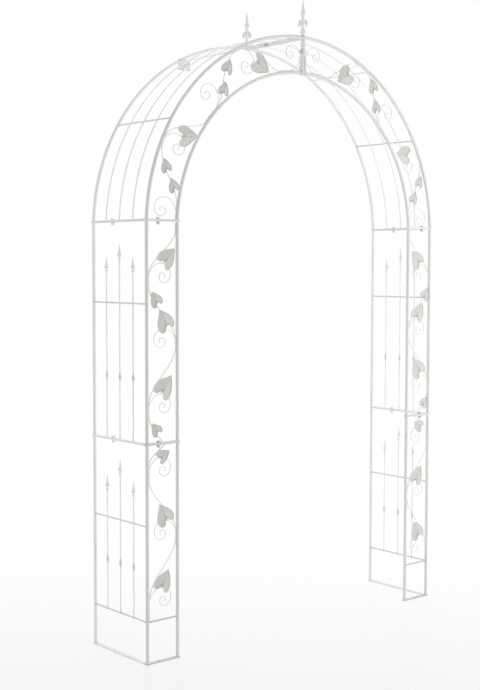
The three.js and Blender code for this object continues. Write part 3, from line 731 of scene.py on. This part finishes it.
# Half a leaf's outline, in shares of its half width and its length: the midrib's stub, two teeth
# of the notch and the start of the lobe. With each goes where on the midrib its ruling starts.
notch_shares = np.array([
    (0, -0.03), (0.045, 0.0), (0.075, 0.085), (0.13, 0.03), (0.17, 0.02), (0.19, 0.055),
    (0.205, 0.02), (0.24, -0.04), (0.34, -0.145), (0.48, -0.205), (0.62, -0.215),
])
notch_ribs = np.array([0.12, 0.12, 0.12, 0.12, 0.12, 0.12, 0.4, 0.4, 0.4, 0.4, 0.4])
vein_lines = ((0.16, -0.62), (0.2, 0.0), (0.36, 0.34), (0.54, 0.5), (0.7, 0.62))


def leaf(notch, tip):
    """A pressed leaf. One parameter goes round its outline, the notch and two curves a side, and
    the other along straight rulings from the midrib out to it. Its height is a fold that turns
    the halves back, grooves for the midrib and the veins, a rim that rises to the front, and a
    stub that bends back to the wire; the back face lies one thickness under the front one."""
    length = np.linalg.norm(tip - notch)
    width = length * leaf_width_share
    s = np.linspace(0, 1, 16)
    lobe = bezier([(0.62, -0.215), (0.9, -0.22), (1.02, -0.05), (1, 0.12)], s[1:])
    flank = bezier([(1, 0.12), (0.98, 0.44), (0.36, 0.7), (0, 1)], np.linspace(0, 1, 40)[1:])
    side = np.vstack([notch_shares, lobe, flank])
    ribs = np.concatenate([notch_ribs, np.full(15, 0.4), 1 - 0.6 * np.linspace(1, 0, 40)[1:] ** 1.2])
    ring = np.vstack([side, side[-2:0:-1] * (-1, 1)]) * (width, length)
    rib_at = np.concatenate([ribs, ribs[-2:0:-1]])[:, None] * (0, length)
    out = np.concatenate([np.linspace(0, 1 - rim_share, 20), [0.88, 0.91, 0.94, 0.96, 0.98, 1.0]])
    plan = rib_at[None] * (1 - out[:, None, None]) + ring[None] * out[:, None, None]
    x, z = plan[..., 0], plan[..., 1]
    inside = np.clip((1 - out) / rim_share, 0, 1)[:, None]
    to_tip = np.clip((1 - z / length) / tip_share, 0, 1)
    from_stub = np.clip(z / (stub_share * length), 0, 1)
    groove = midrib_depth * np.exp(-(x / midrib_width) ** 2) * from_stub * to_tip
    for start, slope in vein_lines:
        off_line = (z - start * length - slope * np.abs(x)) / np.sqrt(1 + slope ** 2)
        vein = np.exp(-(off_line / vein_width) ** 2) * np.clip(np.abs(x) / vein_fade, 0, 1)
        groove = groove + vein_depth * vein * inside
    rim = rim_height * (1 - inside) ** 2 * to_tip
    stalk = stalk_depth * np.clip(1 - z / (stalk_share * length), 0, 1) ** 1.5
    stalk = stalk * np.exp(-(x / stalk_width) ** 2)
    droop = tip_droop * np.clip(z / length - 0.5, 0, 1) ** 2
    height = rim - groove - stalk - droop - np.tan(leaf_fold) * np.abs(x)
    along_way = (tip - notch) / length
    to_front = np.array([0.0, -1.0, 0.0])
    across_way = np.cross(along_way, to_front)
    start = notch + to_front * leaf_lift

    sheet = start + x[..., None] * across_way + z[..., None] * along_way
    half = leaf_thickness / 2
    front, behind = (sheet + (height + lift)[..., None] * to_front for lift in (half, -half))
    return shell(np.concatenate([front, behind[::-1]]), "folded")


def below_head(width_share):
    """A share of the lower band's length, from a distance below its head in band widths."""
    return 1 - width_share * band_width / (section_height - foot_height - rod_radius)


arch_band = ArchBand()
curl_rise = curl_radius_at(0.5 * np.pi) + curl_radius
curl_drop = curl_radius_at(1.5 * np.pi) + curl_radius
curl_lift = curl_start * np.sin(inner_arc.spring)
first_curl = (head_height + bar_thickness + curl_drop - curl_lift) / arch_band.length
last_curl = 1 - (curl_rise + nut_height + thread_end + 2 * bar_thickness) / arch_band.length

# A stop is its tube, from and to; a scroll its tube, share and the leaf over it, whose notch and
# tip are shares across and band widths up from the scroll's centre; a leaf on the wire is its
# notch and tip as shares across and along.
vine_shapes = {
    "lower_vine": dict(
        band=TowerBand(foot_height + rod_radius, section_height), end=1.0,
        stops=[
            (0, 0, 0.121), (1, 0.452, 0.495), (0, below_head(0.952), below_head(0.556)),
            (1, below_head(-0.354), below_head(-0.59)),
        ],
        scrolls=[
            (0, 0.108, (0.431, 0.363, 0.661, 0.82)), (1, 0.489, (0.607, 0.344, 0.361, 0.797)),
            (0, below_head(0.707), (0.393, 0.325, 0.7, 0.509)),
        ],
        leaves=[],
    ),
    "upper_vine": dict(
        band=TowerBand(section_pitch + bar_thickness, section_pitch + section_height), end=0.99,
        stops=[(1, -0.136, -0.12), (0, 0.123, 0.176), (1, 0.427, 0.461), (0, 0.707, 0.756), (1, 0.957, 1)],
        scrolls=[
            (0, 0.161, (0.446, 0.38, 0.769, 0.829)), (1, 0.457, (0.623, 0.397, 0.373, 0.841)),
            (0, 0.75, (0.531, 0.374, 0.88, 0.742)),
        ],
        leaves=[(0.315, 0.046, 0.123, 0.09), (0.308, 0.629, 0.123, 0.682)],
    ),
    "arch_vine": dict(
        band=arch_band, end=last_curl + wire_tail,
        stops=[(1, 0, 0.06), (0, 0.25, 0.272), (1, 0.411, 0.5), (0, 0.683, 0.722), (1, 0.872, 1)],
        scrolls=[
            (1, first_curl, None), (0, 0.259, (0.5, 0.335, 0.922, 0.65)), (1, 0.492, None),
            (0, 0.71, (0.515, 0.385, 0.925, 0.768)), (1, last_curl, None),
        ],
        leaves=[
            (0.77, 0.11, 0.571, 0.147), (0.394, 0.168, 0.197, 0.201),
            (0.77, 0.553, 0.557, 0.588), (0.352, 0.613, 0.143, 0.649),
        ],
    ),
}
for name, shape in vine_shapes.items():
    band = shape["band"]
    wires, leaves = [stem_wire(shape["end"], shape["stops"], band)], []
    placed = list(shape["leaves"])
    for tube, share, over in shape["scrolls"]:
        wires.append(scroll(tube, share, band))
        if over:
            step = band_width / band.length
            placed.append((over[0], share + over[1] * step, over[2], share + over[3] * step))
    for notch_across, notch_along, tip_across, tip_along in placed:
        notch, tip = band.place(notch_across, notch_along), band.place(tip_across, tip_along)
        leaves.append(leaf(notch, tip))
    make_pair(name + "_wires", wires, wire_paint, name, crease=0.9)
    make_pair(name + "_leaves", leaves, leaf_paint_in_painted_shade, name, crease=0.9)

# Bolts
# Zinc-plated hexagon bolts with nuts clamp the paired bars: two through each joint of the
# towers, heads up, and one through the front apex bars and one through the ridge bars.
bolt_radius, hex_flats, thread_pitch, thread_depth, bolt_sides = 4.0, 13.0, 1.25, 0.55, 48
grip, bolt_gap = 2 * bar_thickness + seat_gap, 0.2
dish_radii, dish_depth = (4.6, 4.2), 0.25
tip_inset, root_rise, face_share, chamfer_slope = 0.9, 0.35, 0.97, 1.7


def zinc_plate(name, dull, bright):
    """Bright zinc plate, clouded between a dull and a bright grey, with a fine grain."""
    material, shade = new_finish(name, {"Metallic": 0.5})
    stain = shade.noise(120.0, 3.0)
    colour = stain.ramp([(0.3, [dull] * 3), (0.7, [bright] * 3)])
    feed(shade, colour, 0.3 + stain * 0.25, shade.noise(1500.0).bump(0.03, 0.6))
    return material


# Painted light and shade: the zinc on the front bolts, apex bolts and rivet is darker, and on the side bolts
# lighter.
zinc = zinc_plate("zinc_plate_on_front_bolts", 0.50, 0.62)
side_zinc_in_painted_light = zinc_plate("zinc_plate_on_side_bolts", 0.74, 0.84)


def hexagon(heights, low, high, turn):
    """Radii of a chamfered hexagon: the distance to its flats, and not past a cone that meets
    both faces inside the corners."""
    flat = hex_flats / 2 / np.cos((turn + np.pi / 6) % (np.pi / 3) - np.pi / 6)
    edge = np.minimum(heights - low, high - heights)
    cone = hex_flats / 2 * face_share + edge * chamfer_slope
    return np.minimum(flat[None, :], cone[:, None])


def bolt_skin():
    """A bolt with its nut on the Z axis, the clamped bars from 0 to the grip. Below the nut the
    thread is a ridge that winds round the shank."""
    turn = turns_round(bolt_sides)
    plain = np.ones(bolt_sides)
    nut_low = -bolt_gap - nut_height
    end_rows = np.linspace(nut_low - thread_end, nut_low, 24)
    ridge = 0.5 + 0.5 * np.cos(2 * np.pi * (end_rows[:, None] / thread_pitch) + turn[None, :])
    taper = np.clip(end_rows - end_rows[0], 0, 1)[:, None]
    end = bolt_radius - tip_inset + (root_rise + thread_depth * ridge) * taper
    nut_rows = nut_low + nut_height * np.array([0.0, 0.03, 0.08, 0.14, 0.5, 0.86, 0.92, 0.97, 1.0])
    nut = hexagon(nut_rows, nut_low, nut_low + nut_height, turn)
    shank_rows = (-bolt_gap + hair, grip + bolt_gap)
    head_low, head_high = grip + bolt_gap + hair, grip + seat_gap + head_height
    head_shares = np.array([0.0, 0.03, 0.12, 0.5, 0.8, 0.88, 0.94, 0.98, 1.0])
    head_rows = head_low + (head_high - head_low) * head_shares
    head = hexagon(head_rows, head_low - head_height, head_high, turn)
    heights = [end_rows, nut_rows, shank_rows, head_rows, (head_high, head_high - dish_depth)]
    radii = [end, nut, bolt_radius * plain, bolt_radius * plain, head, *np.outer(dish_radii, plain)]
    return turned(0, 0, np.concatenate(heights), np.vstack(radii), bolt_sides)


bolt = bolt_skin()
tower_bolts = (("side", side_bolt, 0.4, side_zinc_in_painted_light), ("front", front_bolt, 0.5, zinc))
for level, base in sections.items():
    for place, (x, y), spin, coat in tower_bolts:
        facing = [(np.cos(spin), np.sin(spin), 0), (-np.sin(spin), np.cos(spin), 0), (0, 0, 1)]
        skin = shell(bolt @ np.array(facing) + (x, y, base + section_height - bar_thickness))
        name = f"{level}_{place}_bolt"
        make_pair(name + "_and_nut", [skin], coat, name, slot="zinc_plate", crease=0.45)
lying = bolt[..., [2, 1, 0]] * (1, 1, -1) - (bar_thickness + apex_gap, 0, 0)
for name, y, z in (("apex_front_bolt", front_y, apex_bolt_z), ("apex_ridge_bolt", ridge_bolt_y, apex_z)):
    make_piece(name + "_and_nut", [shell(lying + (0, y, z))], zinc, name, "zinc_plate", crease=0.45)

# Finials
# Two castings stand on the apex, front and back: a collar, four drooping lobes and a four-edged
# point with a long cone.
finial_height, finial_reach = 130.0, 19.5
lobe_root, lobe_reach, lobe_wide, lobe_thick = 0.12, 0.64, 0.46, 0.36
lobe_base, lobe_arch, lobe_hang = 0.395, 0.03, 0.18
cast_paint = white_paint("castings", (0.90, 0.895, 0.88), 600.0, 0.04)
finial_core_shares = np.array([
    (0, 0.36), (0.03, 0.42), (0.05, 0.58), (0.075, 0.62), (0.1, 0.56), (0.14, 0.42), (0.18, 0.32),
    (0.22, 0.29), (0.3, 0.30), (0.4, 0.30), (0.45, 0.34), (0.47, 0.30), (0.5, 0.31), (0.53, 0.40),
    (0.57, 0.46), (0.61, 0.42), (0.66, 0.33), (0.72, 0.27), (0.82, 0.18), (0.92, 0.09), (0.98, 0.03),
    (1, 0.01),
])
finial_edge_shares = np.array([
    (0, 0), (0.5, 0), (0.55, 0.12), (0.585, 0.20), (0.62, 0.14), (0.7, 0.05), (0.85, 0.02), (1, 0),
])


def finial_core():
    """The casting's middle: a turned core with four edges, whose reach is a share at each
    height, widest in the flare under the point."""
    up = np.concatenate([np.linspace(0, 0.24, 24), np.linspace(0.25, 0.5, 16), np.linspace(0.51, 1, 40)])
    core = np.interp(up, *finial_core_shares.T) * finial_reach
    edge = np.interp(up, *finial_edge_shares.T) * finial_reach
    turn = turns_round(40)
    return turned(0, 0, up * finial_height, core[:, None] + edge[:, None] * np.cos(2 * turn) ** 4, 40)


def finial_lobe(which):
    """One drooping lobe: a path that leaves the core on a diagonal, arches over and hangs, carrying
    an oval that swells evenly and closes at its end."""
    share = np.linspace(0, 1, 22)
    out = finial_reach * (lobe_root + lobe_reach * share ** 0.6)
    up = finial_height * (lobe_base + lobe_arch * np.sin(share * np.pi) - lobe_hang * share ** 1.7)
    swell = (0.4 + 0.6 * share) * np.sqrt(np.clip(1 - share ** 6, 0.001, 1))
    wide, thick = lobe_wide * finial_reach * swell, lobe_thick * finial_reach * swell
    heading = unit(np.column_stack([np.gradient(out), np.gradient(up)]))
    turn = turns_round(16)
    aside = wide[:, None] * np.cos(turn)
    lift = thick[:, None] * np.sin(turn)
    radial = out[:, None] - heading[:, 1:] * lift
    height = up[:, None] + heading[:, :1] * lift
    angle = (which + 0.5) * np.pi / 2
    x = radial * np.cos(angle) - aside * np.sin(angle)
    y = radial * np.sin(angle) + aside * np.cos(angle)
    return np.stack([x, y, height], -1)


for name, y in (("front_finial", front_y), ("back_finial", back_y)):
    place = np.array([0, y, apex_top + seat_gap])
    skins = [shell(finial_core() + place)] + [shell(finial_lobe(i) + place) for i in range(4)]
    make_piece(name + "_casting", skins, cast_paint, name, crease=1.0)

# Small plate
# A bare aluminium plate hangs on the front of the back arc from one rivet. It is left blank.
plate_size, plate_thickness, plate_share = (55.0, 40.0), 1.5, 0.683
plate_hole, plate_corner, plate_edge = 2.0, 2.2, 0.3
plate, shade = new_finish("bare_aluminium_plate", {"Metallic": 0.25})
brushed = shade.noise(900.0, 3.0, stretch=(0.05, 1.0, 1.0))
plate_colour = brushed.ramp([(0.3, (0.66, 0.66, 0.655)), (0.7, (0.70, 0.70, 0.695))])
feed(shade, plate_colour, 0.42 + brushed * 0.12, brushed.bump(0.004, 0.5))

rivet_x, _, rivet_z = outer_arc.points([plate_share])[0]
plate_low = np.array([rivet_x - plate_size[0] / 6, rivet_z - plate_size[1] * 5 / 6])
plate_rings = holed_plate(
    plate_low, plate_low + plate_size, (rivet_x, rivet_z), plate_hole,
    plate_thickness, plate_corner, plate_edge,
)
plate_back = back_y - tube_reach
plate_rings = plate_rings[..., [0, 2, 1]] * (1, -1, 1) + (0, plate_back, 0)
make_piece("blank_plate_sheet", [shell(plate_rings, "looped")], plate, "blank_plate", "bare_plate")

# The rivet's radius at heights over the plate: its shank, and a domed head.
rivet_rows = np.array([
    (-plate_thickness, 1.7), (0.2, 1.7), (0.3, 3.5), (0.7, 3.4), (1.3, 2.9), (1.9, 1.9), (2.2, 1.0),
    (2.3, 0.4),
])
rivet = turned(0, 0, plate_thickness + rivet_rows[:, 0], rivet_rows[:, 1:], 20)
rivet = rivet[..., [0, 2, 1]] * (1, -1, 1) + (rivet_x, plate_back, rivet_z)
make_piece("plate_rivet_dome", [shell(rivet)], zinc, "plate_rivet", "zinc_plate")

# Floor and light
# A white studio sweep. For the camera the floor mostly glows, as painted light, most on the far
# side that the camera looks towards and falling to a pale grey on the near side. The floor keeps a
# trace of shadow and reflection under the feet.
sweep_way = (float(np.sin(camera_yaw)), float(np.cos(camera_yaw)), 0.0)
floor_reach = 40.0
floor_mesh = bpy.data.meshes.new("floor")
floor_corners = [(x * floor_reach, y * floor_reach, 0) for x, y in ((-1, -1), (1, -1), (1, 1), (-1, 1))]
floor_mesh.from_pydata(floor_corners, [], [(0, 1, 2, 3)])
floor = bpy.data.objects.new("floor", floor_mesh)
bpy.context.collection.objects.link(floor)


def along_sweep(shade, coordinate):
    """How far a place or direction lies along the camera's level heading."""
    place = shade.node("TexCoord", output=coordinate)
    return shade.node("VectorMath", {0: place, 1: sweep_way}, "Value", operation="DOT_PRODUCT")


def eased_range(shade, value, span, result):
    """A value mapped from one range to another by the smooth step, and held at its ends."""
    return shade.node("MapRange", {
        "Value": value, "From Min": span[0], "From Max": span[1], "To Min": result[0], "To Max": result[1],
    }, interpolation_type="SMOOTHSTEP")


def seen_or_mirrored(shade):
    """1 for a ray from the camera or off a glossy surface, and 0 for the light itself."""
    camera_ray = shade.node("LightPath", output="Is Camera Ray")
    return (camera_ray + shade.node("LightPath", output="Is Glossy Ray")).clamped()


def new_nodes(holder, output):
    """An empty node tree with its output, and a Shade to add nodes to."""
    holder.use_nodes = True
    holder.node_tree.nodes.clear()
    return Shade(holder.node_tree), holder.node_tree.nodes.new("ShaderNodeOutput" + output)


floor_paint = bpy.data.materials.new("pale_floor")
shade, floor_output = new_nodes(floor_paint, "Material")
# Painted light: the floor's glow rises towards the far side.
glow = eased_range(shade, along_sweep(shade, "Object"), (-1.8, 1.9), (0.885, 1.02))
matt = shade.node("BsdfDiffuse", {"Color": (0.95, 0.95, 0.95, 1)})
glowing = shade.node("Emission", {"Color": (1, 1, 1, 1), "Strength": glow})
shine = shade.node("BsdfGlossy", {"Color": (0.99, 0.99, 0.99, 1), "Roughness": 0.3})
pale = shade.node("MixShader", {0: seen_or_mirrored(shade) * 0.9, 1: matt, 2: glowing})
camera_ray = shade.node("LightPath", output="Is Camera Ray")
polished = shade.node("MixShader", {0: camera_ray * 0.08, 1: pale, 2: shine})
floor_paint.node_tree.links.new(polished.socket, floor_output.inputs["Surface"])
floor_mesh.materials.append(floor_paint)

world = bpy.data.worlds.new("studio")
bpy.context.scene.world = world
shade, world_output = new_nodes(world, "World")
behind = along_sweep(shade, "Generated")
seen = seen_or_mirrored(shade)
backdrop = eased_range(shade, behind, (-0.6, 0.9), (0.80, 0.99))
strength = seen * backdrop + (1 - seen) * (0.80 + behind * 0.40)
background = shade.node("Background", {"Color": (1, 1, 1, 1), "Strength": strength})
world.node_tree.links.new(background.socket, world_output.inputs["Surface"])


def soft_lamp(name, place, aim, size, power):
    """A square area lamp that faces a point, its power in watts."""
    lamp = bpy.data.lights.new(name, "AREA")
    lamp.size, lamp.energy = size, power
    holder = bpy.data.objects.new(name, lamp)
    holder.location = place
    holder.rotation_euler = (Vector(aim) - Vector(place)).to_track_quat("-Z", "Y").to_euler()
    bpy.context.collection.objects.link(holder)


soft_lamp("overhead_lamp", (0.4, 1.2, 5.2), (0, 0, 0.9), 3.5, 45)
soft_lamp("right_hand_lamp", (1.4, -1.6, 1.4), (0.45, 0, 1.5), 2.0, 18)
soft_lamp("left_hand_lamp", (-3.2, 1.8, 2.0), (-0.4, 0, 1.3), 2.0, 11)
bpy.context.scene.view_settings.view_transform = "Standard"
